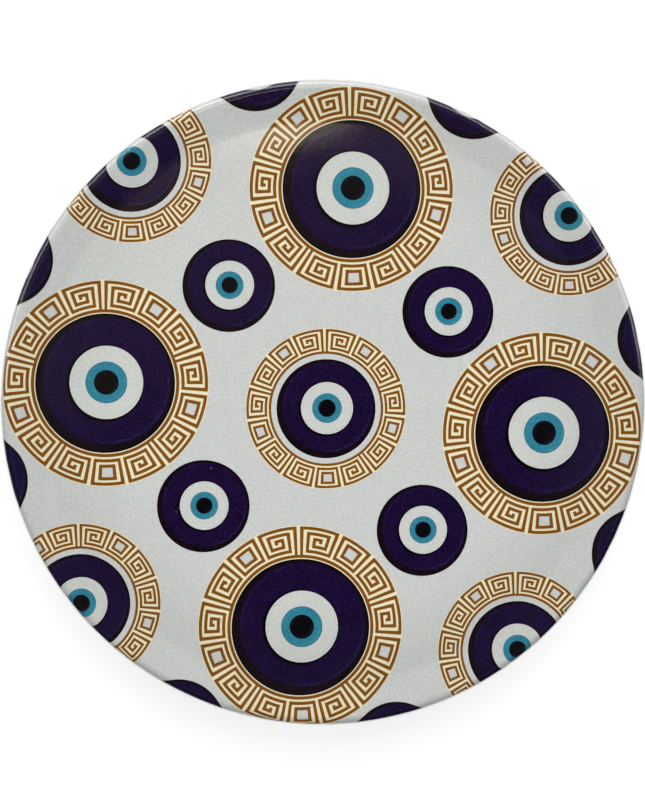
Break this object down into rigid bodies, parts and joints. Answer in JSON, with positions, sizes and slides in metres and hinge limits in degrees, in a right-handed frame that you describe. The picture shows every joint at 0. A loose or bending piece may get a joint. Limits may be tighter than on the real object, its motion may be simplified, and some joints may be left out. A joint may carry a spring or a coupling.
{
  "type": "evil eye button magnet",
  "caption": "Round tin button magnet with a raised rim and a wrapped evil eye bead print under clear film, for a fridge door.",
  "frame": {"origin": "centre of the magnet's back face, which is the lowest point of the part", "axes": "+Z out of the printed face along the button's axis, +Y to the top of the print, +X to the print's right"},
  "size_m": [0.058, 0.058, 0.006],
  "materials": {
    "film": "clear glossy polyester film",
    "print": "coated paper with a colour print",
    "tinplate": "bright rolled tinplate",
    "plate": "satin moulded plastic",
    "glue": "cured clear adhesive",
    "ferrite": "matt sintered ferrite"
  },
  "bodies": {
    "root": {"clear_film": "film", "printed_sheet": "print", "front_shell": "tinplate", "back_plate": "plate", "glue_pad": "glue", "magnet": "ferrite"}
  },
  "joints": []
}
